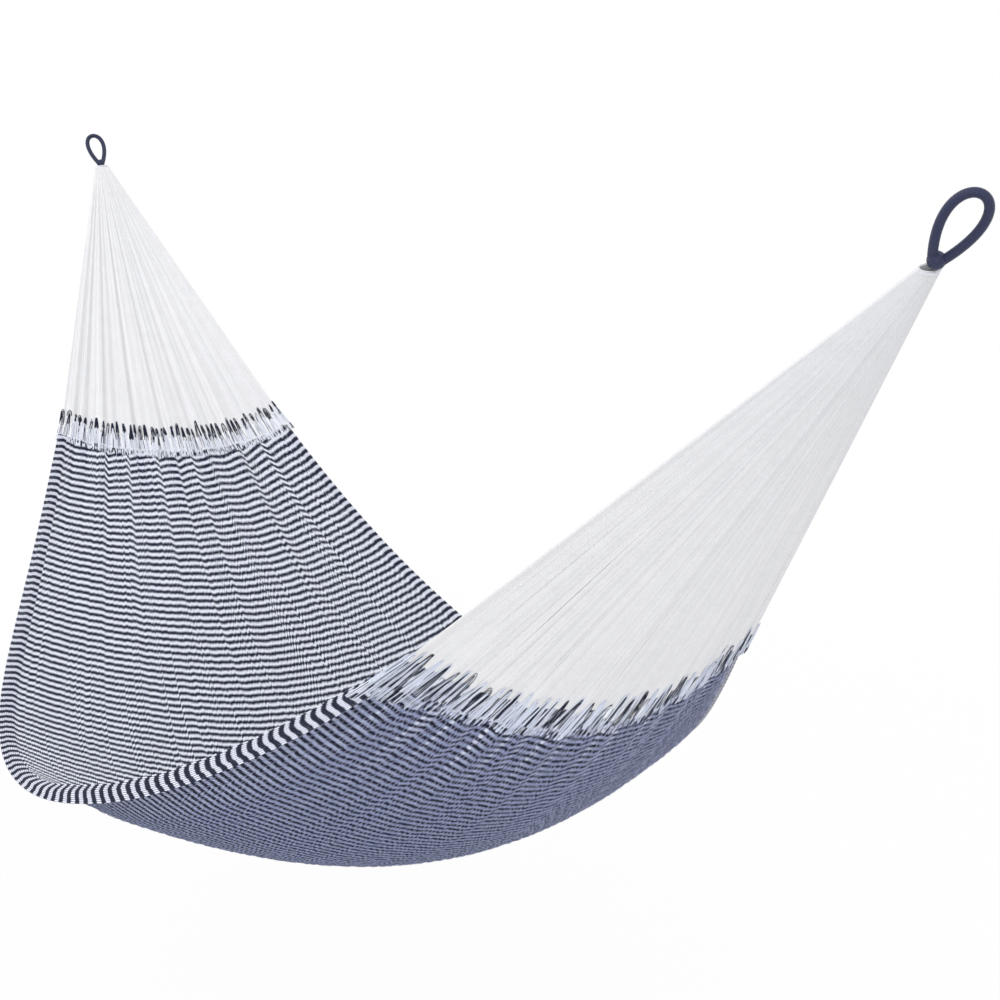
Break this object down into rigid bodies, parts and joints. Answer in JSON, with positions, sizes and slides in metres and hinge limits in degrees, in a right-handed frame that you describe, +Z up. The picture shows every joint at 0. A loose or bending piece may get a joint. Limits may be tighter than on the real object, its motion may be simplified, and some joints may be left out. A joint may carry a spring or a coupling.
{
  "type": "rope hammock",
  "caption": "String hammock with gathered ends and two whipped hanging eyes, its striped woven bed hanging open.",
  "frame": {"origin": "midway between the two hooks that the eyes hang on, where they bear at the inside top of each eye", "axes": "+X along the hammock from the left eye to the right one, +Z up, -Y the front edge"},
  "size_m": [2.9689, 1.2682, 1.3446],
  "materials": {
    "white_string": "matt twisted cotton string",
    "navy_cord": "tight whipping, slight sheen",
    "loop_cord": "white string loops with navy tips",
    "woven_cloth": "open weave, striped navy and white across",
    "edge_cloth": "close weave, bold navy and white stripes"
  },
  "bodies": {
    "eyes": {"left_eye_core": "white_string", "left_eye_whipping": "navy_cord", "left_neck_binding": "navy_cord", "right_eye_core": "white_string", "right_eye_whipping": "navy_cord", "right_neck_binding": "navy_cord"},
    "middle": {"left_strings_3": "white_string", "left_loops_3": "loop_cord", "bed_panel_3": "woven_cloth", "right_loops_3": "loop_cord", "right_strings_3": "white_string", "left_strings_4": "white_string", "left_loops_4": "loop_cord", "bed_panel_4": "woven_cloth", "right_loops_4": "loop_cord", "right_strings_4": "white_string", "left_strings_5": "white_string", "left_loops_5": "loop_cord", "bed_panel_5": "woven_cloth", "right_loops_5": "loop_cord", "right_strings_5": "white_string"},
    "front_side": {"left_strings_1": "white_string", "left_loops_1": "loop_cord", "bed_panel_1": "woven_cloth", "right_loops_1": "loop_cord", "right_strings_1": "white_string", "left_strings_2": "white_string", "left_loops_2": "loop_cord", "bed_panel_2": "woven_cloth", "right_loops_2": "loop_cord", "right_strings_2": "white_string", "front_edge_band": "edge_cloth"},
    "back_side": {"left_strings_6": "white_string", "left_loops_6": "loop_cord", "bed_panel_6": "woven_cloth", "right_loops_6": "loop_cord", "right_strings_6": "white_string", "left_strings_7": "white_string", "left_loops_7": "loop_cord", "bed_panel_7": "woven_cloth", "right_loops_7": "loop_cord", "right_strings_7": "white_string", "back_edge_band": "edge_cloth"}
  },
  "joints": [
    {"name": "swing", "type": "hinge", "parent": "eyes", "child": "middle", "pos_m": [0, 0, -0.06609], "axis": [1, 0, 0], "range_deg": [-30, 30]},
    {"name": "front_spread", "type": "hinge", "parent": "middle", "child": "front_side", "pos_m": [0, 0, -0.06609], "axis": [-1, 0, 0], "range_deg": [0, 12]},
    {"name": "back_spread", "type": "hinge", "parent": "middle", "child": "back_side", "pos_m": [0, 0, -0.06609], "axis": [1, 0, 0], "range_deg": [0, 12]}
  ]
}
